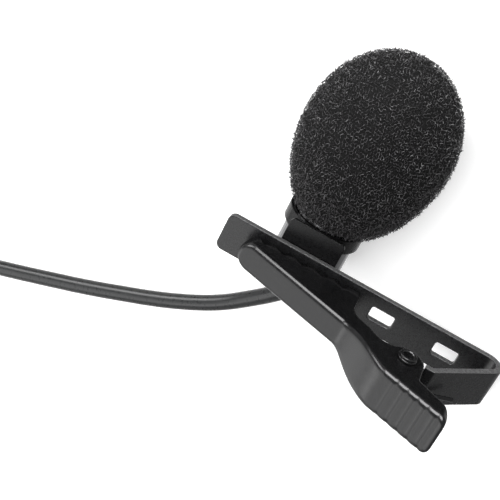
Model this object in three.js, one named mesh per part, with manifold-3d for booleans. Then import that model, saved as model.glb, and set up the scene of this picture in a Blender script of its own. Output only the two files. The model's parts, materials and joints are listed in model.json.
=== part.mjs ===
// Clip-on lavalier microphone, lying on a table on its foam windscreen, the end of its barrel and
// the handle end of its clip. Millimetres, +Z up.
//
// Two working frames are used:
//   microphone frame: origin on the barrel's axis, +Z along it towards the windscreen,
//                     +X along the clip towards its handle, +Y away from the lever;
//   clip frame:       the same directions, origin at the jaw tip on the strip's gripping face.
import * as THREE from "three";
import { mergeVertices } from "three/addons/utils/BufferGeometryUtils.js";
import Module from "manifold-3d";

const wasm = await Module();
wasm.setup();

// ---------------------------------------------------------------- driving dimensions

const gap = 0.15; // between pieces that touch on the real object

// how the microphone lies
const micTilt = THREE.MathUtils.degToRad(18.6); // windscreen end of the barrel above the table
const clipRoll = THREE.MathUtils.degToRad(20.6); // handle end of the clip down towards the table

// barrel
const barrelRadius = 5.05;
const barrelWall = 0.5;
const barrelTail = -1.5;
const barrelTop = 17;
const grilleTop = 19.3;
const capsuleRadius = 3;

// windscreen: an egg that leans a little on the barrel
const foamRadius = 10.65;
const foamHalfLength = 14.2;
const foamEgg = 0.085; // how much wider the top half is than the bottom half
const foamCentre = 18.3;
const foamOffset = 0.85;
const foamLean = THREE.MathUtils.degToRad(3);
const foamMouth = 6.9;
const foamBoreEnd = grilleTop + 0.4;

// clip strip
const stripLength = 42;
const stripWidth = 5.7;
const stripThickness = 0.9;
const foldRadius = 2.3; // outer radius of the fold at the handle end
const slotLength = 3.5;
const slotWidth = 2.05;
const slotStarts = [22.95, 32.75];

// holder
const holderSheet = 0.5;
const holderWidth = 8.3;
const ringInner = barrelRadius + gap;
const ringOuter = ringInner + holderSheet;
const ringLow = 4.1;
const ringHigh = 6.3;
const ringOpening = THREE.MathUtils.degToRad(84);
const rivetOffset = 3.3;

// where the barrel's axis is in the clip frame
const micX = 11.75;
const micY = stripThickness + gap + ringOuter;

// lever
const leverSheet = 0.7;
const jawHalfWidth = 2.05;
const tabHalfWidth = 3.1;
const webSlope = 0.375;
const toothPitch = 3;
const toothHeight = 1.3;
const toothGap = 0.3; // left between the teeth and the strip when the jaw is closed
const ribCount = 6;
const ribPitch = 1.62;
const ribRadius = 0.3;

// pivot
const pivot = new THREE.Vector2(29.5, -11.6); // clip frame, x and y
const earRadius = 2.5;
const pinRadius = 1.1;
const pinBore = 0.75;
const pinHalfLength = 3.85;
const springWire = 0.3; // radius
const springCoil = 1.55;
const springTurns = 3;

// cord
const cordRadius = 1.2;
const coilRadius = 14; // at the middle of the turns
const coilThickness = 9.8; // sixteen turns, four by four
const coilLift = 0.5; // the tie passes under the coil
const coilCentre = new THREE.Vector2(-88.4, -43.2);
const tieClearance = 0.15;
const tieThickness = 0.35;
const tieWidth = 3;
const tieAngle = THREE.MathUtils.degToRad(60);
const plugRadius = 3.5;
const plugTurn = THREE.MathUtils.degToRad(-5); // away from +Y

const round = 40; // sides of the round pieces

// ---------------------------------------------------------------- materials

const finish = (color, roughness, metalness) =>
  new THREE.MeshStandardMaterial({ color, roughness, metalness });

const foamBlack = () => finish(0x1c1b1d, 1, 0);
const blackPaint = () => finish(0x111112, 0.2, 0.1);
const steel = () => finish(0x8d8f92, 0.35, 1);
const rubberBlack = () => finish(0x17181a, 0.7, 0);
const cordGrey = () => finish(0x2c2f31, 0.55, 0);
const gold = () => finish(0xc9a45c, 0.25, 1);

// ---------------------------------------------------------------- helpers

function named(name, geometry, material) {
  const mesh = new THREE.Mesh(geometry, material);
  mesh.name = name;
  return mesh;
}

function solid(geometry) {
  const plain = geometry.index ? geometry.toNonIndexed() : geometry.clone();
  plain.deleteAttribute("normal");
  plain.deleteAttribute("uv");
  const merged = mergeVertices(plain, 1e-5);
  return new wasm.Manifold(
    new wasm.Mesh({
      numProp: 3,
      vertProperties: new Float32Array(merged.attributes.position.array),
      triVerts: new Uint32Array(merged.index.array),
    }),
  );
}

function surface(manifold) {
  const mesh = manifold.getMesh();
  const geometry = new THREE.BufferGeometry();
  geometry.setAttribute("position", new THREE.BufferAttribute(mesh.vertProperties, 3));
  geometry.setIndex(new THREE.BufferAttribute(mesh.triVerts, 1));
  geometry.computeVertexNormals();
  return geometry;
}

// Body of revolution about Z from [radius, z] points. A ring's profile closes on itself.
function turned(points, sides = round) {
  const profile = points.map(([r, z]) => new THREE.Vector2(r, z));
  return new THREE.LatheGeometry(profile, sides).rotateX(Math.PI / 2);
}

function disc(radius, low, high, sides = round) {
  return turned([[0, low], [radius, low], [radius, high], [0, high]], sides);
}

function ring(inner, outer, low, high, sides = round) {
  return turned([[inner, low], [outer, low], [outer, high], [inner, high], [inner, low]], sides);
}

// Flat outline in X and Y, extruded along Z between two heights.
function plate(shape, low, high, curveSegments = 8) {
  const options = { depth: high - low, bevelEnabled: false, curveSegments };
  return new THREE.ExtrudeGeometry(shape, options).translate(0, 0, low);
}

// Flat outline given in X and Z, extruded along Y.
function panel(shape, low, high, curveSegments = 8) {
  return plate(shape, -high, -low, curveSegments).rotateX(Math.PI / 2);
}

function roundedBox(left, right, low, high, radius) {
  const shape = new THREE.Shape();
  shape.moveTo(left + radius, low);
  shape.lineTo(right - radius, low);
  shape.absarc(right - radius, low + radius, radius, -Math.PI / 2, 0);
  shape.lineTo(right, high - radius);
  shape.absarc(right - radius, high - radius, radius, 0, Math.PI / 2);
  shape.lineTo(left + radius, high);
  shape.absarc(left + radius, high - radius, radius, Math.PI / 2, Math.PI);
  shape.lineTo(left, low + radius);
  shape.absarc(left + radius, low + radius, radius, Math.PI, 1.5 * Math.PI);
  return shape;
}

// Round bar along a curve.
function rod(curve, radius, steps, sides = 8) {
  const section = new THREE.Shape();
  section.absarc(0, 0, radius, 0, 2 * Math.PI);
  const options = { steps, extrudePath: curve, curveSegments: sides / 2, bevelEnabled: false };
  return new THREE.ExtrudeGeometry(section, options);
}

// Cylinder along Y in the clip frame.
function crossPin(radius, x, z, low, high, sides = 16) {
  const depth = high - low;
  return new THREE.CylinderGeometry(radius, radius, depth, sides).translate(x, low + depth / 2, z);
}

// ---------------------------------------------------------------- microphone body

function micBarrel() {
  const inside = barrelRadius - barrelWall;
  const chamfer = 0.3;
  const floor = barrelTail + 0.8;
  const bush = 2.05;
  return turned([
    [bush, barrelTail],
    [barrelRadius - chamfer, barrelTail],
    [barrelRadius, barrelTail + chamfer],
    [barrelRadius, barrelTop],
    [inside, barrelTop],
    [inside, floor],
    [bush, floor],
    [bush, barrelTail],
  ]);
}

// Pressed cap with a skirt inside the barrel's mouth and seven sound holes.
function headGrille() {
  const skirt = barrelRadius - barrelWall - gap;
  const wall = 0.4;
  const low = barrelTop - 0.7;
  const rim = barrelTop + gap;
  const shoulder = grilleTop - 0.9;
  const cap = turned([
    [skirt - wall, low],
    [skirt, low],
    [skirt, rim],
    [barrelRadius, rim],
    [barrelRadius, shoulder],
    [barrelRadius - 0.9, grilleTop],
    [0, grilleTop],
    [0, grilleTop - wall],
    [skirt - wall, grilleTop - wall - 0.4],
    [skirt - wall, low],
  ]);
  let body = solid(cap);
  const holeRadius = 0.6;
  for (let i = 0; i < 7; i += 1) {
    const angle = (i * Math.PI) / 3;
    const reach = i === 6 ? 0 : 2.3;
    const hole = disc(holeRadius, grilleTop - 2, grilleTop + 1, 10);
    hole.translate(reach * Math.cos(angle), reach * Math.sin(angle), 0);
    body = body.subtract(solid(hole));
  }
  return surface(body);
}

function capsuleCan() {
  const low = 10.8;
  const high = 15.6;
  const port = 0.5;
  return turned([
    [0, low],
    [capsuleRadius, low],
    [capsuleRadius, high - 0.2],
    [capsuleRadius - 0.2, high],
    [port, high],
    [port, high - 0.6],
    [0, high - 0.6],
  ]);
}

function capsuleBoot() {
  const outside = barrelRadius - barrelWall - gap;
  const inside = capsuleRadius + gap;
  const low = 9.9;
  return turned([
    [1.6, low],
    [outside, low],
    [outside, 15.2],
    [inside, 15.2],
    [inside, low + 0.75],
    [1.6, low + 0.75],
    [1.6, low],
  ]);
}

function lead(side) {
  const curve = new THREE.CatmullRomCurve3([
    new THREE.Vector3(0.45 * side, 0, 4.3),
    new THREE.Vector3(0.9 * side, 0.2, 5.2),
    new THREE.Vector3(1.7 * side, 0.3, 6.4),
    new THREE.Vector3(1.5 * side, 0, 7.8),
    new THREE.Vector3(1.2 * side, 0, 8.5),
  ]);
  return rod(curve, 0.28, 8, 6);
}

function strainRelief() {
  const bore = cordRadius + gap;
  const neck = 1.9;
  return turned([
    [bore, -4.6],
    [1.75, -4.6],
    [1.9, -4.3],
    [2.5, barrelTail - 0.6],
    [2.5, barrelTail - gap],
    [neck, barrelTail - gap],
    [neck, barrelTail + 0.95],
    [2.6, barrelTail + 0.95],
    [2.6, barrelTail + 1.7],
    [bore, barrelTail + 1.7],
    [bore, -4.6],
  ]);
}

function windscreen() {
  const rows = 20;
  const profile = [];
  for (let i = 0; i <= rows; i += 1) {
    const angle = (Math.PI * i) / rows;
    const swell = 1 - foamEgg * Math.cos(angle);
    const radius = i % rows === 0 ? 0 : foamRadius * Math.sin(angle) * swell;
    profile.push([radius, -foamHalfLength * Math.cos(angle)]);
  }
  const egg = turned(profile, 36).rotateY(foamLean).translate(foamOffset, 0, foamCentre);
  egg.rotateZ(clipRoll); // it leans towards the clip's handle
  const bore = disc(ringInner, 0, foamBoreEnd);
  const below = new THREE.BoxGeometry(40, 40, 20).translate(0, 0, foamMouth - 10);
  return surface(solid(egg).subtract(solid(bore)).subtract(solid(below)));
}

function microphone() {
  const group = new THREE.Group();
  const inside = barrelRadius - barrelWall - gap;
  group.add(
    named("mic_barrel", micBarrel(), blackPaint()),
    named("head_grille", headGrille(), steel()),
    named("acoustic_felt", disc(3.9, 15.8, 16.15), foamBlack()),
    named("capsule", capsuleCan(), steel()),
    named("capsule_boot", capsuleBoot(), rubberBlack()),
    named("capsule_board", disc(inside, 8.8, 9.6), finish(0x1f5b34, 0.5, 0)),
    named("signal_wire", lead(1), finish(0xa03024, 0.5, 0)),
    named("shield_wire", lead(-1), finish(0xb8742e, 0.4, 1)),
    named("cord_ferrule", ring(cordRadius + gap, 1.9, 1.1, 2.9, 24), gold()),
    named("inner_cable", disc(cordRadius, -4.5, 4, 16), cordGrey()),
    named("strain_relief", strainRelief(), rubberBlack()),
    named("windscreen", windscreen(), foamBlack()),
  );
  return group;
}

// ---------------------------------------------------------------- clip

// Side view of the strip: straight arm, fold at the handle end, leg that runs back at 45 degrees
// and a short level end that carries the pivot ears.
function stripSide() {
  const centreX = stripLength - foldRadius;
  const centreY = stripThickness - foldRadius;
  const inner = foldRadius - stripThickness;
  const legTurn = -Math.PI / 4;
  const levelOuter = -10.75;
  const levelInner = levelOuter + stripThickness;
  const levelEnd = pivot.x + 1.5;
  const outerSum = centreX - centreY + foldRadius * Math.SQRT2;
  const innerSum = outerSum - stripThickness * Math.SQRT2;
  const shape = new THREE.Shape();
  shape.moveTo(0, stripThickness);
  shape.lineTo(0, 0);
  shape.lineTo(centreX, 0);
  shape.absarc(centreX, centreY, inner, Math.PI / 2, legTurn, true);
  shape.lineTo(innerSum + levelInner, levelInner);
  shape.lineTo(levelEnd, levelInner);
  shape.lineTo(levelEnd, levelOuter);
  shape.lineTo(outerSum + levelOuter, levelOuter);
  shape.absarc(centreX, centreY, foldRadius, legTurn, Math.PI / 2, false);
  return shape;
}

// One of the two ears that hold the pin: a round eye joined to the level end of the strip.
function innerEar(low, high) {
  const eye = new THREE.Shape();
  eye.absarc(pivot.x, pivot.y, 1.9, 0, 2 * Math.PI);
  const arm = roundedBox(pivot.x + 0.6, pivot.x + 3.4, -10.75, -9.85, 0.1);
  return solid(plate(eye, low, high, 14)).add(solid(plate(arm, low, high, 2)));
}

function backStrip() {
  const half = stripWidth / 2;
  const earOut = tabHalfWidth - leverSheet - 0.3;
  const earIn = earOut - 0.6;
  const tipRadius = 1;
  let body = solid(plate(stripSide(), -half, half, 12));
  const plan = roundedBox(0, stripLength + 1, -half, half, tipRadius);
  body = body.intersect(solid(panel(plan, -20, 5, 5)));
  for (const start of slotStarts) {
    const slot = roundedBox(start, start + slotLength, -slotWidth / 2, slotWidth / 2, 0.35);
    body = body.subtract(solid(panel(slot, -0.5, stripThickness + 0.5, 4)));
  }
  // the level end is narrower between the lever's ears
  for (const side of [-1, 1]) {
    const notch = new THREE.BoxGeometry(5, 3, 4);
    notch.translate(pivot.x + earRadius + 0.2 - 2.5, -10.3, side * (earOut + 2));
    body = body.subtract(solid(notch));
    const low = side > 0 ? earIn : -earOut;
    body = body.add(innerEar(low, low + 0.6));
  }
  const bore = disc(pinRadius + 0.1, -5, 5, 24).translate(pivot.x, pivot.y, 0);
  body = body.subtract(solid(bore));
  for (const side of [-1, 1]) {
    const x = micX + side * rivetOffset;
    body = body.subtract(solid(crossPin(0.7, x, 0, -1, stripThickness + 1)));
  }
  return surface(body);
}

function ringHolder() {
  const low = stripThickness + gap;
  const high = low + holderSheet;
  const flat = roundedBox(-holderWidth / 2, holderWidth / 2, -2.6, ringHigh, 0.7);
  let body = solid(panel(flat, low, high, 5).translate(micX, 0, 0));
  const band = solid(ring(ringInner, ringOuter, ringLow, ringHigh, 56));
  const mouth = new THREE.Shape();
  mouth.moveTo(0, 0);
  const reach = 12;
  mouth.lineTo(reach * Math.sin(ringOpening / 2), reach * Math.cos(ringOpening / 2));
  mouth.lineTo(-reach * Math.sin(ringOpening / 2), reach * Math.cos(ringOpening / 2));
  const open = solid(plate(mouth, ringLow - 1, ringHigh + 1));
  const wings = surface(band.subtract(open)).translate(micX, micY, 0);
  body = body.add(solid(wings));
  for (const side of [-1, 1]) {
    const x = micX + side * rivetOffset;
    body = body.subtract(solid(crossPin(0.7, x, 0, low - 1, high + 1)));
  }
  return surface(body);
}

// Rivet with a low domed head on each side of the two sheets, along Y.
function holderRivet(side) {
  const back = stripThickness + gap + holderSheet + gap;
  const body = turned([
    [0, -0.5],
    [0.5, -0.47],
    [0.9, -gap],
    [0.55, -gap],
    [0.55, back],
    [0.9, back],
    [0.5, back + 0.3],
    [0, back + 0.33],
  ], 16);
  return body.rotateX(-Math.PI / 2).translate(micX + side * rivetOffset, 0, 0);
}

function pivotPin() {
  const shoulder = tabHalfWidth + 0.1;
  const groove = 1;
  const rim = 1.3;
  const end = [
    [pinRadius, shoulder],
    [rim, shoulder],
    [rim, shoulder + 0.22],
    [groove, shoulder + 0.3],
    [groove, shoulder + 0.4],
    [rim - 0.08, shoulder + 0.5],
    [rim - 0.12, pinHalfLength - 0.05],
    [pinBore + 0.1, pinHalfLength],
    [pinBore, pinHalfLength - 0.15],
  ];
  const lower = end.map(([r, z]) => [r, -z]).reverse();
  return turned([...lower, ...end, lower[0]], 28);
}

// Line from a point outside the coil to the coil, touching it, on the given side.
function tangentAngle(target, side) {
  const reach = target.clone().sub(pivot);
  return reach.angle() + side * Math.acos(springCoil / reach.length());
}

function torsionSpring() {
  const legEnd = new THREE.Vector2(37.6, -8.75);
  const tabEnd = new THREE.Vector2(33.4, -17.45);
  const start = tangentAngle(legEnd, -1);
  const finishAngle = tangentAngle(tabEnd, 1) - 2 * Math.PI;
  const sweep = start - finishAngle + 2 * Math.PI * (springTurns - 1);
  const pitch = 0.68;
  const height = (pitch * sweep) / (2 * Math.PI);
  const perTurn = 12;
  const steps = Math.round((perTurn * sweep) / (2 * Math.PI));
  const onCoil = (angle, z) =>
    new THREE.Vector3(
      pivot.x + springCoil * Math.cos(angle),
      pivot.y + springCoil * Math.sin(angle),
      z,
    );
  const points = [];
  const first = onCoil(start, -height / 2);
  const far = new THREE.Vector3(legEnd.x, legEnd.y, -height / 2);
  for (const t of [1, 0.66, 0.33]) {
    points.push(first.clone().lerp(far, t));
  }
  for (let i = 0; i <= steps; i += 1) {
    const t = i / steps;
    points.push(onCoil(start - t * sweep, (t - 0.5) * height));
  }
  const last = points[points.length - 1];
  const tab = new THREE.Vector3(tabEnd.x, tabEnd.y, height / 2);
  for (const t of [0.33, 0.66, 1]) {
    points.push(last.clone().lerp(tab, t));
  }
  return rod(new THREE.CatmullRomCurve3(points), springWire, 66);
}

function clip() {
  const group = new THREE.Group();
  const pin = named("pivot_pin", pivotPin(), blackPaint());
  pin.position.set(pivot.x, pivot.y, 0);
  group.add(
    named("back_strip", backStrip(), blackPaint()),
    named("ring_holder", ringHolder(), blackPaint()),
    named("holder_rivet_left", holderRivet(-1), blackPaint()),
    named("holder_rivet_right", holderRivet(1), blackPaint()),
    pin,
    named("torsion_spring", torsionSpring(), blackPaint()),
    named("jaw_lever", jawLever(), blackPaint()),
  );
  return group;
}

// ---------------------------------------------------------------- lever

// The web's outer line from the jaw tip to the end of the thumb tab, clip frame.
function webLine() {
  const jawEnd = 20.2;
  const start = new THREE.Vector2(4.7, -1.52 - webSlope * 4.7);
  const bend = new THREE.Vector2(jawEnd, -1.52 - webSlope * jawEnd);
  const tabStart = new THREE.Vector2(27.7, -16.85);
  const tabEnd = new THREE.Vector2(36.6, -20.05);
  const flare = new THREE.CubicBezierCurve(
    bend,
    new THREE.Vector2(bend.x + 1.7, bend.y - 0.75),
    new THREE.Vector2(tabStart.x - 2.6, tabStart.y + 1.4),
    tabStart,
  );
  return [start, ...flare.getPoints(14), tabEnd];
}

function offsetLine(line, distance) {
  return line.map((point, i) => {
    const before = line[Math.max(i - 1, 0)];
    const after = line[Math.min(i + 1, line.length - 1)];
    const along = after.clone().sub(before).normalize();
    return new THREE.Vector2(point.x - along.y * distance, point.y + along.x * distance);
  });
}

// Side view of the lever with its flanges: web, end of the tab, lips, ear, teeth and jaw tip.
function leverSide() {
  const shape = new THREE.Shape();
  const line = webLine();
  const peak = -toothGap;
  const valley = peak - toothHeight;
  const firstValley = 6;
  const teeth = 4;
  const jawEnd = 20.7;
  shape.moveTo(line[0].x, line[0].y);
  for (const point of line.slice(1)) {
    shape.lineTo(point.x, point.y);
  }
  shape.quadraticCurveTo(37.1, -19.6, 36.9, -18.9);
  shape.quadraticCurveTo(36.5, -16.9, 35, -16.35);
  shape.lineTo(32, -14.75);
  shape.quadraticCurveTo(31.1, -14.2, pivot.x + earRadius * Math.cos(-0.5), -13.05);
  shape.absarc(pivot.x, pivot.y, earRadius, -0.5, 0.78 * Math.PI);
  shape.quadraticCurveTo(26.3, -11.05, 25.3, -10.7);
  shape.lineTo(22.6, -7.85);
  shape.quadraticCurveTo(21, -6.6, jawEnd - 0.1, -4.9);
  shape.lineTo(jawEnd, peak - 0.4);
  shape.quadraticCurveTo(jawEnd, peak, jawEnd - 0.4, peak);
  shape.lineTo(firstValley + toothPitch * (teeth + 0.5), peak);
  for (let i = teeth; i >= 0; i -= 1) {
    shape.lineTo(firstValley + toothPitch * i, valley);
    if (i > 0) {
      shape.lineTo(firstValley + toothPitch * (i - 0.5), peak);
    }
  }
  shape.lineTo(5.3, peak);
  shape.lineTo(4.9, peak);
  shape.quadraticCurveTo(4.1, -1.4, 3.75, -2.1);
  shape.quadraticCurveTo(3.55, -2.85, line[0].x, line[0].y);
  return shape;
}

// Side view of the hollow inside the lever, one sheet thickness in from the web and the jaw tip.
function hollowSide() {
  const inner = offsetLine(webLine(), leverSheet);
  const shape = new THREE.Shape();
  shape.moveTo(inner[0].x, inner[0].y);
  for (const point of inner.slice(1)) {
    shape.lineTo(point.x, point.y);
  }
  shape.lineTo(40, -20);
  shape.lineTo(40, 5);
  shape.lineTo(5.9, 5);
  shape.lineTo(5.6, -0.6);
  shape.quadraticCurveTo(4.8, -1.6, 4.5, -2.1);
  return shape;
}

// Plan view of the lever, narrow at the jaw and flared to the thumb tab; inset by a distance.
function leverPlan(inset) {
  const jaw = jawHalfWidth - inset;
  const tab = tabHalfWidth - inset;
  const tip = 3.4 + inset;
  const end = inset > 0 ? 41 : 37.4;
  const corner = inset > 0 ? 0.05 : 0.7;
  const side = [
    [tip + jaw, jaw],
    [20.2, jaw],
    [21.3, jaw + 0.12],
    [22.7, jaw + 0.5],
    [24, tab - 0.16],
    [25, tab],
  ];
  const shape = new THREE.Shape();
  shape.absarc(tip + jaw, 0, jaw, Math.PI / 2, 1.5 * Math.PI);
  for (const [x, z] of side) {
    shape.lineTo(x, -z);
  }
  shape.lineTo(end - corner, -tab);
  shape.absarc(end - corner, -tab + corner, corner, -Math.PI / 2, 0);
  shape.absarc(end - corner, tab - corner, corner, 0, Math.PI / 2);
  for (const [x, z] of side.reverse()) {
    shape.lineTo(x, z);
  }
  return shape;
}

function jawLever() {
  const reach = 6;
  const outer = solid(plate(leverSide(), -reach, reach, 7)).intersect(
    solid(panel(leverPlan(0), -25, 5, 7)),
  );
  const hollow = solid(plate(hollowSide(), -reach, reach, 5)).intersect(
    solid(panel(leverPlan(leverSheet), -25, 8, 7)),
  );
  let body = outer.subtract(hollow);
  const bore = disc(pinRadius + 0.15, -reach, reach, 24).translate(pivot.x, pivot.y, 0);
  body = body.subtract(solid(bore));
  // raised ribs across the thumb tab
  const tab = webLine().slice(-2);
  const along = tab[1].clone().sub(tab[0]).normalize();
  for (let i = 0; i < ribCount; i += 1) {
    const at = tab[1].clone().addScaledVector(along, -0.55 - ribPitch * i);
    const rib = new THREE.CapsuleGeometry(ribRadius, 2 * tabHalfWidth - 1.1, 2, 8);
    rib.rotateX(Math.PI / 2).translate(at.x, at.y + 0.05, 0);
    body = body.add(solid(rib));
  }
  return surface(body);
}

// ---------------------------------------------------------------- cord

// Centreline of the cord: out of the strain relief, down onto the table and away to the coil.
const cableRoute = [
  [-11.49, -16.27, 3.63],
  [-11.62, -17.7, 3.15],
  [-12.45, -19.4, 2.65],
  [-13.75, -20.95, 2.15],
  [-15.2, -22.5, 1.75],
  [-16.75, -24.1, 1.45],
  [-18.4, -25.75, 1.28],
  [-20.25, -27.4, 1.25],
  [-22.3, -28.98, 1.25],
  [-25, -30.85, 1.25],
  [-28, -32.75, 1.25],
  [-33.8, -36.05, 1.25],
  [-39.2, -39, 1.25],
  [-44.8, -41.85, 1.25],
  [-50.5, -44.7, 1.25],
  [-56.2, -47.45, 1.25],
  [-61.6, -50, 1.25],
  [-66.8, -52.45, 1.25],
  [-72, -54.88, 1.25],
];

// From the coil to the plug, which lies on the table on its shell.
const cableEndRoute = [
  [-105.16, -31.9, 1.25],
  [-104.96, -29.6, 1.35],
  [-104.66, -26.2, 2.35],
  [-104.44, -23.7, 3.3],
  [-104.3, -22.05, 3.55],
];

function cordTube(route, steps) {
  const points = route.map(([x, y, z]) => new THREE.Vector3(x, y, z));
  return rod(new THREE.CatmullRomCurve3(points, false, "centripetal"), cordRadius, steps);
}

function coilRing() {
  const cut = 0.9;
  const inner = coilRadius - coilThickness / 2;
  const outer = coilRadius + coilThickness / 2;
  const top = coilLift + coilThickness;
  return turned([
    [inner + cut, coilLift],
    [outer - cut, coilLift],
    [outer, coilLift + cut],
    [outer, top - cut],
    [outer - cut, top],
    [inner + cut, top],
    [inner, top - cut],
    [inner, coilLift + cut],
    [inner + cut, coilLift],
  ], 48);
}

// Flat strap round the bundle of turns.
function coilTie() {
  const half = coilThickness / 2 + tieClearance;
  const outline = (grow, radius) =>
    roundedBox(-half - grow, half + grow, -half - grow, half + grow, radius);
  const strap = outline(tieThickness, 1);
  strap.holes.push(new THREE.Path(outline(0, 0.7).getPoints(4)));
  const band = plate(strap, -tieWidth / 2, tieWidth / 2, 4).rotateX(Math.PI / 2);
  return band.translate(coilRadius, 0, coilLift + coilThickness / 2);
}

// Four-contact 3.5 mm plug, along +Z from the back of its boot.
function plug() {
  const group = new THREE.Group();
  const pin = 1.75;
  const core = 0.9;
  const shellEnd = 21.5;
  const boot = turned([[0, 0], [1.8, 0], [2.2, 0.4], [2.8, 7], [2.8, 8], [0, 8]], 24);
  const shell = turned([
    [0, 8 + gap],
    [3.2, 8 + gap],
    [plugRadius, 8.5],
    [plugRadius, 20.6],
    [3, shellEnd],
    [pin + gap, shellEnd],
    [pin + gap, shellEnd - 0.3],
    [0, shellEnd - 0.3],
  ], 32);
  group.add(named("plug_boot", boot, rubberBlack()), named("plug_shell", shell, blackPaint()));
  let at = shellEnd - 0.3 + gap;
  const contacts = [
    ["plug_sleeve", 3.6],
    ["plug_insulator_1", 0.6],
    ["plug_ring_back", 2.1],
    ["plug_insulator_2", 0.6],
    ["plug_ring_front", 2.1],
    ["plug_insulator_3", 0.6],
  ];
  for (const [name, long] of contacts) {
    const material = name.includes("insulator") ? rubberBlack() : gold();
    group.add(named(name, disc(pin, at, at + long, 20), material));
    at += long + gap;
  }
  const tip = turned([
    [0, at],
    [pin, at],
    [pin, at + 0.7],
    [core + 0.3, at + 1.5],
    [pin - 0.1, at + 2.4],
    [core, at + 3.4],
    [0, at + 3.7],
  ], 20);
  group.add(named("plug_tip", tip, gold()));
  return group;
}

function cord() {
  const group = new THREE.Group();
  const coil = new THREE.Group();
  coil.add(
    named("cable_coil", coilRing(), cordGrey()),
    named("coil_tie", coilTie(), rubberBlack()),
  );
  coil.position.set(coilCentre.x, coilCentre.y, 0);
  coil.rotation.z = tieAngle;
  const lyingPlug = new THREE.Group();
  const straightPlug = plug();
  straightPlug.rotation.x = -Math.PI / 2;
  straightPlug.position.y = 2 * gap;
  lyingPlug.add(straightPlug);
  lyingPlug.position.set(...cableEndRoute.at(-1));
  lyingPlug.rotation.z = plugTurn;
  group.add(
    named("cable", cordTube(cableRoute, 46), cordGrey()),
    coil,
    named("cable_end", cordTube(cableEndRoute, 8), cordGrey()),
    lyingPlug,
  );
  return group;
}

// ---------------------------------------------------------------- assembly

const mic = microphone();
const clipGroup = clip();
clipGroup.position.set(-micX, -micY, 0);
const turning = new THREE.Group();
turning.rotation.z = clipRoll;
turning.add(clipGroup);

const laid = new THREE.Group();
laid.rotation.x = micTilt - Math.PI / 2;
laid.add(mic, turning);

// The origin is on the table, under the middle of the microphone and its clip.
const extent = new THREE.Box3().setFromObject(laid, true);
const middle = extent.getCenter(new THREE.Vector3());
laid.position.set(-middle.x, -middle.y, -extent.min.z);

const lavalier = new THREE.Group();
lavalier.add(laid, cord());

export default lavalier;
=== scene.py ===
import json
import math
import random

import bmesh
import bpy
from mathutils import Matrix, Vector


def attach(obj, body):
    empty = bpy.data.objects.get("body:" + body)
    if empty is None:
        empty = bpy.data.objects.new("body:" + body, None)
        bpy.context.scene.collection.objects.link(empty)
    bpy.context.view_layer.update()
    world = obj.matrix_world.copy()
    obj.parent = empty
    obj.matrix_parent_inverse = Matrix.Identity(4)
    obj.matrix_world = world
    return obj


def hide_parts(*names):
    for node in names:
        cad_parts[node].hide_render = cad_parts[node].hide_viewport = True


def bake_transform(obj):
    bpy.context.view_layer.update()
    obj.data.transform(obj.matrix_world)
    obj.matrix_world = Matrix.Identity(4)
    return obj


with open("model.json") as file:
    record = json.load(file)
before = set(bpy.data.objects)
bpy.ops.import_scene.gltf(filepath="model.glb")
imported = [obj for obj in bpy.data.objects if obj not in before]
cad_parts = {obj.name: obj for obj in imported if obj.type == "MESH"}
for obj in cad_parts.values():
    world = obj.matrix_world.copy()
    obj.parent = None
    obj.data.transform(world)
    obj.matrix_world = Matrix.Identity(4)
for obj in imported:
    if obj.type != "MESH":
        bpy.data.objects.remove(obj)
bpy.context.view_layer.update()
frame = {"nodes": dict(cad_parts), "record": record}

MM = 0.001

# ---------------------------------------------------------------- camera

eye = Vector((52.504, 25.215, 187.68)) * MM
right = Vector((0.71719, 0.56288, -0.41087))
down = Vector((0.59882, -0.79933, -0.0498))
forward = Vector((-0.35645, -0.21032, -0.91033))

camera_data = bpy.data.cameras.new("camera")
camera_data.sensor_width = 36
camera_data.lens = 100.8
camera_data.clip_start = 0.005
camera = bpy.data.objects.new("camera", camera_data)
bpy.context.scene.collection.objects.link(camera)
camera.matrix_world = Matrix((
    (right.x, -down.x, -forward.x, eye.x),
    (right.y, -down.y, -forward.y, eye.y),
    (right.z, -down.z, -forward.z, eye.z),
    (0, 0, 0, 1),
))
bpy.context.scene.camera = camera


# ---------------------------------------------------------------- helpers

def link(obj):
    bpy.context.scene.collection.objects.link(obj)
    return obj


def smooth(t):
    return t * t * (3 - 2 * t)


def point_on(curve, t):
    """Point at t on a Bezier curve of any degree, given by its control points."""
    points = [Vector(point) for point in curve]
    while len(points) > 1:
        points = [a.lerp(b, t) for a, b in zip(points, points[1:])]
    return points[0]


def height_on(line, x):
    """Height at x of a line made of curves that follow each other in rising x."""
    curve = next((c for c in line if x <= c[-1][0]), line[-1])
    low, high = 0, 1
    for _ in range(24):
        middle = (low + high) / 2
        if point_on(curve, middle).x < x:
            low = middle
        else:
            high = middle
    return point_on(curve, low).y


# ---------------------------------------------------------------- cord

CORD_RADIUS = 1.2
COIL_CENTRE = (-88.4, -43.2)
COIL_PITCH = 2.45
COIL_INNER = 14 - 1.5 * COIL_PITCH
COIL_LOW = 0.5 + COIL_PITCH / 2
TURN_POINTS = 16
COIL_START = -64.6
COIL_FINISH = 175
ROW_CHANGE = 0.68

CABLE_ROUTE = [
    (-11.49, -16.27, 3.63),
    (-11.62, -17.7, 3.15),
    (-12.45, -19.4, 2.65),
    (-13.75, -20.95, 2.15),
    (-15.2, -22.5, 1.75),
    (-16.75, -24.1, 1.45),
    (-18.4, -25.75, 1.28),
    (-20.25, -27.4, 1.25),
    (-22.3, -28.98, 1.25),
    (-25, -30.85, 1.25),
    (-28, -32.75, 1.25),
    (-33.8, -36.05, 1.25),
    (-39.2, -39, 1.25),
    (-44.8, -41.85, 1.25),
    (-50.5, -44.7, 1.25),
    (-56.2, -47.45, 1.25),
    (-61.6, -50, 1.25),
    (-66.8, -52.45, 1.25),
    (-72, -54.88, 1.25),
]

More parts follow.
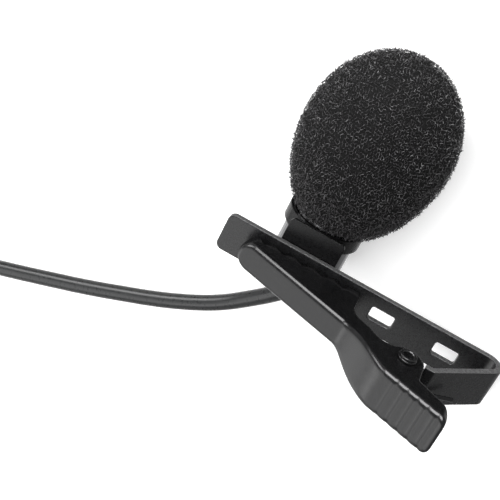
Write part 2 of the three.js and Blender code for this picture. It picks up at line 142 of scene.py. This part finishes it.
CABLE_END_ROUTE = [
    (-105.66, -37.6, 3.7),
    (-105.41, -34.7, 2.25),
    (-105.16, -31.9, 1.4),
    (-104.92, -29.1, 1.35),
    (-104.66, -26.2, 2.3),
    (-104.48, -24.1, 3.15),
    (-104.3, -22.05, 3.55),
]


def coil_cells():
    """Row and column of each turn in the bundle: the first and the last lie outermost."""
    bottom = [(0, 3), (0, 2), (0, 1), (0, 0)]
    rising = [(1, 0), (2, 0), (3, 0)]
    falling = [(3, 1), (2, 1), (1, 1)]
    rising_again = [(1, 2), (2, 2), (3, 2)]
    outside = [(3, 3), (2, 3), (1, 3)]
    return bottom + rising + falling + rising_again + outside


def coil_points(start, finish):
    """Points of the coil, clockwise seen from above, angles in degrees.

    Near the end of each turn the cord moves over to the next place in the bundle.
    """
    cells = coil_cells()
    total = (start - finish) % 360 + 360 * (len(cells) - 1)
    count = round(total / 360 * TURN_POINTS)
    points = []
    for i in range(count + 1):
        turned = total * i / count / 360
        turn = min(int(turned), len(cells) - 1)
        share = turned - turn
        row, column = cells[turn]
        if share > ROW_CHANGE and turn + 1 < len(cells):
            t = smooth((share - ROW_CHANGE) / (1 - ROW_CHANGE))
            row += (cells[turn + 1][0] - row) * t
            column += (cells[turn + 1][1] - column) * t
        angle = math.radians(start - turned * 360)
        reach = COIL_INNER + column * COIL_PITCH
        points.append((
            COIL_CENTRE[0] + reach * math.cos(angle),
            COIL_CENTRE[1] + reach * math.sin(angle),
            COIL_LOW + row * COIL_PITCH,
        ))
    return points


def cord_curve(name, route):
    """Round cord along the route: each point's radius is the cord's, on a bevel of one metre."""
    data = bpy.data.curves.new(name, "CURVE")
    data.dimensions = "3D"
    data.resolution_u = 5
    data.bevel_depth = 1
    data.bevel_resolution = 5
    data.use_fill_caps = True
    spline = data.splines.new("BEZIER")
    spline.bezier_points.add(len(route) - 1)
    for point, at in zip(spline.bezier_points, route):
        point.co = Vector(at) * MM
        point.radius = CORD_RADIUS * MM
        point.handle_left_type = "AUTO"
        point.handle_right_type = "AUTO"
    return link(bpy.data.objects.new(name, data))


cord_route = CABLE_ROUTE + coil_points(COIL_START, COIL_FINISH) + CABLE_END_ROUTE
cord = cord_curve("cord", cord_route)
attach(cord, "microphone")
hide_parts("cable", "cable_coil", "cable_end")


# ---------------------------------------------------------------- materials

NOISE_SPAN = (0.3, 0.7)
BEVEL_SAMPLES = 8


def material(name):
    mat = bpy.data.materials.new(name)
    mat.use_nodes = True
    nodes, links = mat.node_tree.nodes, mat.node_tree.links
    nodes.clear()
    shader = nodes.new("ShaderNodeBsdfPrincipled")
    out = nodes.new("ShaderNodeOutputMaterial")
    links.new(shader.outputs["BSDF"], out.inputs["Surface"])
    return mat, nodes, links, shader


def noise_node(nodes, links, scale, detail=3.0, roughness=0.55):
    where = nodes.new("ShaderNodeTexCoord")
    tex = nodes.new("ShaderNodeTexNoise")
    tex.inputs["Scale"].default_value = scale
    tex.inputs["Detail"].default_value = detail
    tex.inputs["Roughness"].default_value = roughness
    links.new(where.outputs["Object"], tex.inputs["Vector"])
    return tex.outputs["Fac"]


def map_range(nodes, links, source, from_low, from_high, to_low, to_high):
    """Straight, clamped change from one range to another; to_low may be a socket."""
    node = nodes.new("ShaderNodeMapRange")
    node.inputs["From Min"].default_value = from_low
    node.inputs["From Max"].default_value = from_high
    if isinstance(to_low, bpy.types.NodeSocket):
        links.new(to_low, node.inputs["To Min"])
    else:
        node.inputs["To Min"].default_value = to_low
    node.inputs["To Max"].default_value = to_high
    links.new(source, node.inputs["Value"])
    return node.outputs["Result"]


def math_node(nodes, links, operation, *sources):
    node = nodes.new("ShaderNodeMath")
    node.operation = operation
    for i, source in enumerate(sources):
        links.new(source, node.inputs[i])
    return node.outputs["Value"]


def facing_node(nodes, links, source, towards):
    """Dot product of a direction with a fixed one."""
    node = nodes.new("ShaderNodeVectorMath")
    node.operation = "DOT_PRODUCT"
    node.inputs[1].default_value = towards
    links.new(source, node.inputs[0])
    return node.outputs["Value"]


def ramp(nodes, links, source, low, high, stops=NOISE_SPAN):
    node = nodes.new("ShaderNodeValToRGB")
    node.color_ramp.elements[0].position = stops[0]
    node.color_ramp.elements[1].position = stops[1]
    node.color_ramp.elements[0].color = (*low, 1)
    node.color_ramp.elements[1].color = (*high, 1)
    links.new(source, node.inputs["Fac"])
    return node.outputs["Color"]


def spread(nodes, links, source, low, high):
    """Spreads the usual span of a noise over a wider one."""
    return map_range(nodes, links, source, *NOISE_SPAN, low, high)


def bump(nodes, links, shader, source, distance, edge=0.0):
    """Fine relief, over edges rounded by this many millimetres."""
    node = nodes.new("ShaderNodeBump")
    node.inputs["Distance"].default_value = distance
    links.new(source, node.inputs["Height"])
    if edge:
        rounding = nodes.new("ShaderNodeBevel")
        rounding.samples = BEVEL_SAMPLES
        rounding.inputs["Radius"].default_value = edge * MM
        links.new(rounding.outputs["Normal"], node.inputs["Normal"])
    links.new(node.outputs["Normal"], shader.inputs["Normal"])


def speckled(name, low, high, rough, scale, metallic=0.0, bump_mm=0.01, specular=0.5, edge=0.0):
    """Material whose colour, roughness and surface vary a little at one grain size."""
    mat, nodes, links, shader = material(name)
    grain = noise_node(nodes, links, scale)
    links.new(ramp(nodes, links, grain, low, high), shader.inputs["Base Color"])
    links.new(spread(nodes, links, grain, *rough), shader.inputs["Roughness"])
    shader.inputs["Metallic"].default_value = metallic
    shader.inputs["Specular IOR Level"].default_value = specular
    if bump_mm:
        bump(nodes, links, shader, grain, bump_mm * MM, edge)
    return mat


black_paint = speckled(
    "black_paint", (0.004, 0.004, 0.0044), (0.008, 0.008, 0.0084), (0.17, 0.27), 2200,
    bump_mm=0.003, specular=0.3, edge=0.3)
# Painted shade: a darker, duller copy of the black paint for the ring holder, whose plate lies in
# shade.
holder_shaded_paint = speckled(
    "holder_shaded_paint", (0.003, 0.003, 0.0033), (0.006, 0.006, 0.0063), (0.24, 0.32), 2200,
    bump_mm=0.003, specular=0.18, edge=0.2)
strip_paint = speckled(
    "strip_paint", (0.006, 0.006, 0.0065), (0.011, 0.011, 0.0115), (0.24, 0.32), 2200,
    bump_mm=0.002, specular=0.32, edge=0.25)
# Painted highlight: light grey for the sheet's cut edges, standing in for the highlight lines their
# rounding catches.
edge_highlight_paint = speckled(
    "edge_highlight_paint", (0.06, 0.06, 0.062), (0.12, 0.12, 0.122), (0.3, 0.45), 1500,
    bump_mm=0.004, specular=0.5)
pin_paint = speckled(
    "pin_paint", (0.006, 0.006, 0.0065), (0.012, 0.012, 0.0125), (0.14, 0.22), 2200,
    bump_mm=0.002, specular=0.6, edge=0.14)
barrel_gloss = speckled(
    "barrel_gloss", (0.16, 0.16, 0.165), (0.19, 0.19, 0.195), (0.16, 0.24), 2000,
    metallic=1.0, bump_mm=0.002)
steel = speckled(
    "steel", (0.42, 0.42, 0.43), (0.6, 0.6, 0.61), (0.25, 0.4), 1500, metallic=1.0, bump_mm=0.004)
rubber = speckled("rubber", (0.012, 0.012, 0.013), (0.024, 0.024, 0.025), (0.55, 0.75), 2500)
cord_jacket = speckled(
    "cord_jacket", (0.012, 0.0125, 0.0128), (0.018, 0.0185, 0.019), (0.26, 0.32), 1800,
    bump_mm=0.001, specular=0.32)
gold_plate = speckled(
    "gold_plate", (0.75, 0.52, 0.22), (0.86, 0.64, 0.32), (0.16, 0.3), 1200, metallic=1.0,
    bump_mm=0.002)
felt = speckled("felt", (0.01, 0.01, 0.01), (0.03, 0.03, 0.03), (0.9, 1.0), 3500, bump_mm=0.05)
board_mat = speckled("board", (0.01, 0.09, 0.03), (0.02, 0.15, 0.05), (0.3, 0.5), 1500)
red_mat = speckled("red_insulation", (0.3, 0.02, 0.015), (0.45, 0.04, 0.03), (0.4, 0.5), 1500)
copper = speckled(
    "copper", (0.55, 0.25, 0.1), (0.7, 0.36, 0.16), (0.25, 0.4), 1500, metallic=1.0)


def foam_material(name, low, high, rough, specular):
    """Charcoal foam whose colour varies in patches from strand to strand: partly its own tone, partly
    painted highlight, lighter patches standing in for the glints of lit strands.
    """
    mat, nodes, links, shader = material(name)
    tone_and_painted_glint = noise_node(nodes, links, 5200, 1.5, 0.6)
    links.new(ramp(nodes, links, tone_and_painted_glint, low, high, (0.44, 0.7)), shader.inputs["Base Color"])
    links.new(spread(nodes, links, tone_and_painted_glint, *rough), shader.inputs["Roughness"])
    shader.inputs["Specular IOR Level"].default_value = specular
    grain = noise_node(nodes, links, 9000, 1.0, 0.5)
    bump(nodes, links, shader, grain, 0.01 * MM)
    return mat


# Strand colour from near-black to grey: partly the foam's own tone, partly painted highlight for lit
# strands.
foam_mat = foam_material(
    "foam_strand", (0.006, 0.0058, 0.0062), (0.07, 0.067, 0.071), (0.42, 0.6), 0.4)
# Painted shade: the inside of the foam in near-black, standing in for the shade deep in the open cells.
foam_core_painted_shade = foam_material(
    "foam_core_painted_shade", (0.003, 0.003, 0.003), (0.009, 0.009, 0.0092), (0.85, 0.95), 0.1)

BY_SLOT = {
    "foam": foam_mat,
    "felt": felt,
    "black_paint": black_paint,
    "steel": steel,
    "rubber": rubber,
    "cord_jacket": cord_jacket,
    "gold_plate": gold_plate,
    "board": board_mat,
    "red_insulation": red_mat,
    "copper": copper,
}
slot_of = {part["node"]: part["material_slot"] for part in frame["record"]["subparts"]}
for name, node in frame["nodes"].items():
    node.data.materials.clear()
    node.data.materials.append(BY_SLOT[slot_of[name]])
BY_NODE = {
    "ring_holder": holder_shaded_paint,
    "pivot_pin": pin_paint,
    "back_strip": strip_paint,
    "mic_barrel": barrel_gloss,
}
for name, finish in BY_NODE.items():
    frame["nodes"][name].data.materials[0] = finish
cord.data.materials.append(cord_jacket)


# ---------------------------------------------------------------- places

MIC_TILT = math.radians(18.6)
CLIP_ROLL = math.radians(20.6)
MIC_ORIGIN = Vector((-11.489, -11.596, 5.178))
MIC_IN_CLIP = Vector((11.75, 6.75, 0))

mic_place = Matrix.Translation(MIC_ORIGIN) @ Matrix.Rotation(MIC_TILT - math.pi / 2, 4, "X")
clip_place = mic_place @ Matrix.Rotation(CLIP_ROLL, 4, "Z") @ Matrix.Translation(-MIC_IN_CLIP)


def piece_from(data, name, body, slot, finish, *nodes):
    """A new piece with this mesh, riding on a body and standing for these CAD nodes."""
    piece = link(bpy.data.objects.new(name, data))
    data.materials.append(finish)
    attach(piece, body)
    if nodes:
        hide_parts(*nodes)
    return piece


def mesh_from(bm, name, place):
    """Smooth mesh in metres from a bmesh in millimetres."""
    bmesh.ops.recalc_face_normals(bm, faces=bm.faces)
    bmesh.ops.transform(bm, matrix=Matrix.Scale(MM, 4) @ place, verts=bm.verts)
    data = bpy.data.meshes.new(name)
    bm.to_mesh(data)
    bm.free()
    for face in data.polygons:
        face.use_smooth = True
    return data


FLAT_WITHIN = 0.6
EDGE_ANGLE = 32
EDGE_SEGMENTS = 3


def soften(obj, width):
    """Rounds the sharp edges of a piece or CAD node by this many millimetres."""
    flat = obj.modifiers.new("flat", "DECIMATE")
    flat.decimate_type = "DISSOLVE"
    flat.angle_limit = math.radians(FLAT_WITHIN)
    edge = obj.modifiers.new("edge", "BEVEL")
    edge.width = width * MM
    edge.segments = EDGE_SEGMENTS
    edge.limit_method = "ANGLE"
    edge.angle_limit = math.radians(EDGE_ANGLE)
    for face in obj.data.polygons:
        face.use_smooth = True
    normals = obj.modifiers.new("normals", "WEIGHTED_NORMAL")
    normals.keep_sharp = False
    normals.weight = 80


# ---------------------------------------------------------------- windscreen

FOAM_RADIUS = 10.62
FOAM_HALF = 14.2
FOAM_EGG = 0.085
FOAM_CENTRE = Vector((0.85, 0, 18.3))
FOAM_LEAN = math.radians(3)
FOAM_MOUTH = 6.9
FOAM_BORE = 5.25
FOAM_BORE_END = 19.7
CELL_DEPTH = 0.34
STRAND_RADIUS = 0.036
STUB_SHARE = 0.45
STRANDS_KEPT = 0.6
KNOT_JITTER = 0.3
KNOT_DEPTH = (-0.3, 0.14)
STUB_LENGTH = (0.12, 0.34)
STUB_LEAN = 0.9
STUB_ABOVE_MOUTH = 0.2
STRAND_OVERLAP = 0.02
STRAND_SPREAD = (0.75, 1.3)
BORE_ROUGHNESS = 0.06
CORE_SPREAD = (0.7, 1.3)
FULL_DETAIL = 6


def foam_skin_point(unit):
    """Point of the foam's egg in the microphone frame, for a unit vector."""
    at = Vector((unit.x * FOAM_RADIUS, unit.y * FOAM_RADIUS, unit.z * FOAM_HALF))
    swell = 1 + FOAM_EGG * unit.z
    at.x *= swell
    at.y *= swell
    at = Matrix.Rotation(FOAM_LEAN, 3, "Y") @ at + FOAM_CENTRE
    return Matrix.Rotation(CLIP_ROLL, 3, "Z") @ at


def foam_outward(unit):
    return (foam_skin_point(unit) - foam_skin_point(unit * 0.95)).normalized()


def foam_body():
    """Inside of the foam, one cell below the skin, bored for the microphone, in near-black painted
    shade for the shade deep in the open cells.
    """
    rng = random.Random(7)
    bm = bmesh.new()
    bmesh.ops.create_icosphere(bm, subdivisions=FULL_DETAIL, radius=1)
    for vert in bm.verts:
        unit = vert.co.normalized()
        depth = CELL_DEPTH * rng.uniform(*CORE_SPREAD)
        vert.co = foam_skin_point(unit) - foam_outward(unit) * depth
    cut = bmesh.ops.bisect_plane(
        bm, geom=bm.verts[:] + bm.edges[:] + bm.faces[:], plane_co=(0, 0, FOAM_MOUTH),
        plane_no=(0, 0, -1), clear_outer=True)
    rim = [part for part in cut["geom_cut"] if isinstance(part, bmesh.types.BMEdge)]
    for start, end, steps in ((FOAM_MOUTH, FOAM_MOUTH, 4), (FOAM_MOUTH, FOAM_BORE_END, 24)):
        for i in range(1, steps + 1):
            made = bmesh.ops.extrude_edge_only(bm, edges=rim)["geom"]
            share = i / steps
            for vert in (part for part in made if isinstance(part, bmesh.types.BMVert)):
                flat = Vector((vert.co.x, vert.co.y))
                bore = flat.normalized() * FOAM_BORE
                flat = flat.lerp(bore, share) if start == end else bore
                vert.co = (flat.x, flat.y, start + (end - start) * share)
                vert.co += Vector([rng.uniform(-BORE_ROUGHNESS, BORE_ROUGHNESS) for _ in range(3)])
            rim = [part for part in made if isinstance(part, bmesh.types.BMEdge)]
    bmesh.ops.holes_fill(bm, edges=rim, sides=0)
    data = mesh_from(bm, "foam_windscreen", mic_place)
    return piece_from(data, "foam_windscreen", "foam", "foam", foam_core_painted_shade, "windscreen")


def random_unit(rng):
    return Vector([rng.gauss(0, 1) for _ in range(3)]).normalized()


def foam_network(rng):
    """Strands of the open cells of the skin, as pairs of end points."""
    bm = bmesh.new()
    detail = FULL_DETAIL
    bmesh.ops.create_icosphere(bm, subdivisions=detail, radius=1)
    for vert in bm.verts:
        reach = KNOT_JITTER * vert.link_edges[0].calc_length()
        vert.co = (vert.co + random_unit(rng) * reach).normalized()
    knots = []
    bm.faces.ensure_lookup_table()
    for face in bm.faces:
        unit = face.calc_center_median().normalized()
        outward = foam_outward(unit)
        knots.append((foam_skin_point(unit) + outward * rng.uniform(*KNOT_DEPTH), outward))
    strands = []
    for edge in bm.edges:
        a, b = (knots[face.index][0] for face in edge.link_faces)
        if min(a.z, b.z) > FOAM_MOUTH and rng.random() < STRANDS_KEPT:
            strands.append((a, b))
    for at, outward in knots:
        if at.z > FOAM_MOUTH + STUB_ABOVE_MOUTH and rng.random() < STUB_SHARE * STRANDS_KEPT:
            lean = (outward + random_unit(rng) * STUB_LEAN).normalized()
            reach = lean * rng.uniform(*STUB_LENGTH)
            strands.append((at, at + reach))
    bm.free()
    return strands


def foam_strands():
    """Three-sided strands, each a closed prism rooted in its neighbours."""
    rng = random.Random(11)
    points, faces = [], []
    for a, b in foam_network(rng):
        along = (b - a).normalized()
        side = along.cross(random_unit(rng)).normalized()
        first = len(points)
        for end in (a - along * STRAND_OVERLAP, b + along * STRAND_OVERLAP):
            thick = STRAND_RADIUS * rng.uniform(*STRAND_SPREAD)
            for i in range(3):
                turn = Matrix.Rotation(2 * math.pi * i / 3, 3, along)
                corner = mic_place @ (end + turn @ side * thick)
                corner.z = max(corner.z, 0)
                points.append(corner * MM)
        faces.append((first + 2, first + 1, first))
        faces.append((first + 3, first + 4, first + 5))
        for i in range(3):
            j = (i + 1) % 3
            faces.append((first + i, first + j, first + 3 + j, first + 3 + i))
    data = bpy.data.meshes.new("foam_strands")
    data.from_pydata(points, [], faces)
    return piece_from(data, "foam_strands", "foam", "foam", foam_mat)


foam_body()
foam_strands()


# ---------------------------------------------------------------- lever

PIVOT = Vector((29.5, -11.6))
EAR_RADIUS = 2.5
SHEET = 0.7
JAW_HALF = 2.05
TAB_HALF = 3.1
TIP_X = 3.4
TAB_END = 37.05
TAB_CORNER = 1.1
BEND = 0.75
FIRST_TOOTH = 6.0
LAST_TOOTH = 18.0
TOOTH_PITCH = 3.0
TOOTH_TOP = -0.3
TOOTH_ROOT = -1.6
FIRST_GROOVE = 29.4
GROOVE_PITCH = 1.55
GROOVES_FROM = 28.2
GROOVES_TO = 36.5
GROOVE_WIDTH = 0.26
GROOVE_DEPTH = 0.11
SHEET_ROUNDING = 0.2
ROUNDED_FROM = 50

# outer line of the web from the jaw tip to the end of the thumb tab: tip, jaw, flare, tab, end
WEB_LINE = [
    [(3.4, -2.3), (3.4, -3.05), (4.7, -3.28)],
    [(4.7, -3.28), (20.2, -9.1)],
    [(20.2, -9.1), (21.9, -9.85), (25.1, -15.45), (27.7, -16.85)],
    [(27.7, -16.85), (36.3, -19.94)],
    [(36.3, -19.94), (37, -20.15), (37.06, -19.7)],
]
# free edge of the flanges outside the teeth and the ear
JAW_EDGE = [[(3.4, -2.2), (3.7, -1.0), (4.9, -0.3)], [(4.9, -0.3), (5.3, -0.3)]]
FLARE_EDGE = [
    [(20.3, -0.3), (20.64, -0.35), (20.7, -0.8)],
    [(20.7, -0.8), (20.78, -5.0)],
    [(20.78, -5.0), (21.2, -6.6), (22.6, -7.85)],
    [(22.6, -7.85), (24.9, -10.05)],
    [(24.9, -10.05), (26, -10.75), (27.57, -10.0)],
]
LIP_EDGE = [
    [(31.98, -12.2), (32.02, -14.75)],
    [(32.02, -14.75), (35, -16.35)],
    [(35, -16.35), (36.6, -16.95), (37.06, -18.9)],
]
# half width of the lever from jaw to tab
WIDTH_LINE = [
    [(TIP_X, JAW_HALF), (20.4, JAW_HALF)],
    [(20.4, JAW_HALF), (22, JAW_HALF + 0.05), (22.6, TAB_HALF), (25.4, TAB_HALF)],
    [(25.4, TAB_HALF), (37.1, TAB_HALF)],
]


def flange_edge(x):
    """Height of the flanges' free edge: jaw, teeth, flare, ear and lip."""
    teeth_from = JAW_EDGE[-1][-1][0]
    if x < teeth_from:
        return height_on(JAW_EDGE, x)
    if x < FIRST_TOOTH:
        share = (x - teeth_from) / (FIRST_TOOTH - teeth_from)
        return TOOTH_TOP + (TOOTH_ROOT - TOOTH_TOP) * share
    if x < LAST_TOOTH + TOOTH_PITCH / 2:
        from_root = abs((x - FIRST_TOOTH + TOOTH_PITCH / 2) % TOOTH_PITCH - TOOTH_PITCH / 2)
        return TOOTH_ROOT + (TOOTH_TOP - TOOTH_ROOT) * from_root / (TOOTH_PITCH / 2)
    if x < FLARE_EDGE[0][0][0]:
        return TOOTH_TOP
    if x < FLARE_EDGE[-1][-1][0]:
        return height_on(FLARE_EDGE, x)
    if x < LIP_EDGE[0][0][0]:
        return PIVOT.y + math.sqrt(max(EAR_RADIUS ** 2 - (x - PIVOT.x) ** 2, 0))
    return height_on(LIP_EDGE, x)


def half_width(x):
    """Half width of the lever, round at its tip and at the tab's corners."""
    if x < TIP_X + JAW_HALF:
        return math.sqrt(max(JAW_HALF ** 2 - (TIP_X + JAW_HALF - x) ** 2, 0.001))
    past = min(max(x - (TAB_END - TAB_CORNER), 0), 0.96 * TAB_CORNER)
    return height_on(WIDTH_LINE, x) - TAB_CORNER + math.sqrt(TAB_CORNER ** 2 - past ** 2)


def web_line(x):
    """Height of the web's outer face, with the thumb grooves pressed into the tab."""
    rising = smooth(min(max((x - GROOVES_FROM) / 0.8, 0), 1))
    falling = smooth(min(max((GROOVES_TO - x) / 0.5, 0), 1))
    aside = (x - FIRST_GROOVE + GROOVE_PITCH / 2) % GROOVE_PITCH - GROOVE_PITCH / 2
    groove = math.exp(-(aside / GROOVE_WIDTH) ** 2)
    return height_on(WEB_LINE, x) + GROOVE_DEPTH * rising * falling * groove


def lever_stations():
    """Places along the lever, closer where the outline turns quickly."""
    tip = [TIP_X + 0.01 + 0.3 * (i / 8) ** 2 for i in range(8)]
    jaw = [3.75 + 0.15 * i for i in range(111)]
    drop = [20.44, 20.54, 20.62, 20.68, 20.7, 20.73, 20.76, 20.78, 20.84, 20.92]
    flare = [21 + 0.12 * i for i in range(91)]
    ear_side = [31.95, 31.98, 31.99, 32.0, 32.01, 32.02]
    tab = [32.06 + 0.11 * i for i in range(40)]
    end = [36.5 + 0.5 * (1 - (1 - i / 10) ** 2) for i in range(11)]
    return tip + jaw + drop + flare + ear_side + tab + end


def lever_section(x):
    """Half the outline of the outer skin at x as (y, z), from mid web to the flange's edge."""
    web = web_line(x)
    wide = half_width(x)
    tall = max(flange_edge(x) - web, 0.8 if x > TIP_X + JAW_HALF else 0.06)
    bend = min(BEND, wide * 0.98, tall * 0.95)
    flat = [(web, (wide - bend) * i / 5) for i in range(6)]
    turns = [math.pi / 2 * i / 6 for i in range(1, 7)]
    round_part = [
        (web + bend * (1 - math.cos(turn)), wide - bend + bend * math.sin(turn))
        for turn in turns
    ]
    flange = [(web + bend + (tall - bend) * i / 8, wide) for i in range(1, 9)]
    return flat + round_part + flange


def lever():
    """Stamped channel of sheet steel: a skin through the sections, thickened inwards."""
    bm = bmesh.new()
    rows = []
    for x in lever_stations():
        half = lever_section(x)
        whole = [(y, -z) for y, z in reversed(half[1:])] + half
        rows.append([bm.verts.new((x, y, z)) for y, z in whole])
    for a, b in zip(rows, rows[1:]):
        for i in range(len(a) - 1):
            bm.faces.new((a[i], a[i + 1], b[i + 1], b[i]))
    data = mesh_from(bm, "lever_pressing", clip_place)
    piece = piece_from(data, "lever_pressing", "lever", "black_paint", black_paint, "jaw_lever")
    thick = piece.modifiers.new("sheet", "SOLIDIFY")
    thick.thickness = SHEET * MM
    thick.offset = -1
    # The rims of the sheet take the painted highlight of the cut edges.
    thick.material_offset_rim = 1
    data.materials.append(edge_highlight_paint)
    rounded = piece.modifiers.new("rounded", "BEVEL")
    rounded.width = SHEET_ROUNDING * MM
    rounded.segments = 3
    rounded.limit_method = "ANGLE"
    rounded.angle_limit = math.radians(ROUNDED_FROM)


lever()


# ---------------------------------------------------------------- spring


def spring():
    """The spring's wire again: a copy of the CAD node's mesh, in black paint."""
    node = frame["nodes"]["torsion_spring"]
    data = node.data.copy()
    data.name = "spring_wire"
    data.transform(node.matrix_world)
    data.materials.clear()
    data.materials.append(black_paint)
    wire = link(bpy.data.objects.new("spring_wire", data))
    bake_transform(wire)
    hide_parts("torsion_spring")


spring()


# ---------------------------------------------------------------- metal nodes

def paint_edge_highlight(mat, across, colour):
    """Painted highlight: a lighter colour on the faces of a sheet piece that look along the given
    direction, standing in for the highlight lines on its edges.
    """
    nodes, links = mat.node_tree.nodes, mat.node_tree.links
    shader = nodes["Principled BSDF"]
    where = nodes.new("ShaderNodeTexCoord")
    facing = facing_node(nodes, links, where.outputs["Normal"], across)
    size = math_node(nodes, links, "ABSOLUTE", facing)
    mix = nodes.new("ShaderNodeMix")
    mix.data_type = "RGBA"
    mix.inputs["B"].default_value = (*colour, 1)
    links.new(shader.inputs["Base Color"].links[0].from_socket, mix.inputs["A"])
    links.new(map_range(nodes, links, size, 0.8, 0.95, 0, 1), mix.inputs["Factor"])
    links.new(mix.outputs["Result"], shader.inputs["Base Color"])


EDGE_WIDTHS = {
    "back_strip": 0.24,
    "ring_holder": 0.1,
    "mic_barrel": 0.05,
    "pivot_pin": 0.06,
    "plug_shell": 0.1,
    "plug_boot": 0.1,
}

# Painted highlight in light grey on the strip's edge faces.
paint_edge_highlight(strip_paint, clip_place.to_3x3() @ Vector((0, 0, 1)), (0.09, 0.09, 0.091))
for name, width in EDGE_WIDTHS.items():
    soften(frame["nodes"][name], width)


# ---------------------------------------------------------------- studio

def soft_box(name, towards, distance, size, radiance, on_floor=True, in_gloss=True):
    """Square soft light in one direction from the object, aimed at it."""
    data = bpy.data.lights.new(name, "AREA")
    data.size = size
    data.energy = radiance * math.pi * size * size
    lamp = link(bpy.data.objects.new(name, data))
    lamp.location = Vector(towards).normalized() * distance
    lamp.rotation_euler = Vector(towards).to_track_quat("Z", "Y").to_euler()
    lamp.visible_diffuse = on_floor
    lamp.visible_glossy = in_gloss


HALF_FLOOR = 1.5
FLOOR_Z = -0.0002
FLOOR_GLOW = 0.3
FLAG_TOWARDS = Vector((-0.356, 0.718, -0.598)).normalized()
SKY_LEVEL = 0.5
FLAG_LEVEL = 0.03
floor_mesh = bpy.data.meshes.new("floor")
floor_mesh.from_pydata(
    [(x * HALF_FLOOR, y * HALF_FLOOR, FLOOR_Z) for x, y in ((-1, -1), (1, -1), (1, 1), (-1, 1))],
    [], [(0, 1, 2, 3)])
floor = link(bpy.data.objects.new("floor", floor_mesh))
floor_mat = speckled("floor", (0.82, 0.82, 0.82), (0.84, 0.84, 0.84), (0.8, 0.9), 20, bump_mm=0)
floor_shader = floor_mat.node_tree.nodes["Principled BSDF"]
floor_shader.inputs["Emission Color"].default_value = (1, 1, 1, 1)
floor_shader.inputs["Emission Strength"].default_value = FLOOR_GLOW
floor_mesh.materials.append(floor_mat)
floor.visible_glossy = False


def studio_world():
    """White surround, brighter below on the left, with one soft dark flag that blackens the flanges."""
    world = bpy.data.worlds.new("studio")
    world.use_nodes = True
    nodes, links = world.node_tree.nodes, world.node_tree.links
    where = nodes.new("ShaderNodeTexCoord")
    axes = nodes.new("ShaderNodeSeparateXYZ")
    links.new(where.outputs["Generated"], axes.inputs["Vector"])
    below = map_range(nodes, links, axes.outputs["X"], -0.4, 0.4, 1.25, 0.4)
    sky = map_range(nodes, links, axes.outputs["Z"], -0.1, 0.1, below, SKY_LEVEL)
    facing = facing_node(nodes, links, where.outputs["Generated"], FLAG_TOWARDS)
    flag = map_range(nodes, links, facing, 0.82, 0.94, 1, FLAG_LEVEL)
    level = math_node(nodes, links, "MULTIPLY", sky, flag)
    links.new(level, nodes["Background"].inputs["Strength"])
    nodes["Background"].inputs["Color"].default_value = (1, 1, 1, 1)
    return world


bpy.context.scene.world = studio_world()
bpy.context.scene.view_settings.view_transform = "Standard"

soft_box("left_box", (-0.42, -0.69, 0.59), 0.6, 0.5, 2.5)
soft_box("low_left_box", (-0.82, -0.56, 0.16), 0.6, 0.36, 1.5, on_floor=False)
soft_box("near_box", (0.12, -0.75, 0.64), 0.6, 0.25, 3.0)
soft_box("back_box", (0.0, 0.69, 0.72), 0.6, 0.5, 18.0, on_floor=False)
soft_box("key_box", (-0.71, 0.31, 0.645), 0.7, 0.3, 11.0)
soft_box("overhead", (0.15, 0.0, 1), 1.2, 1.8, 1.8, in_gloss=False)
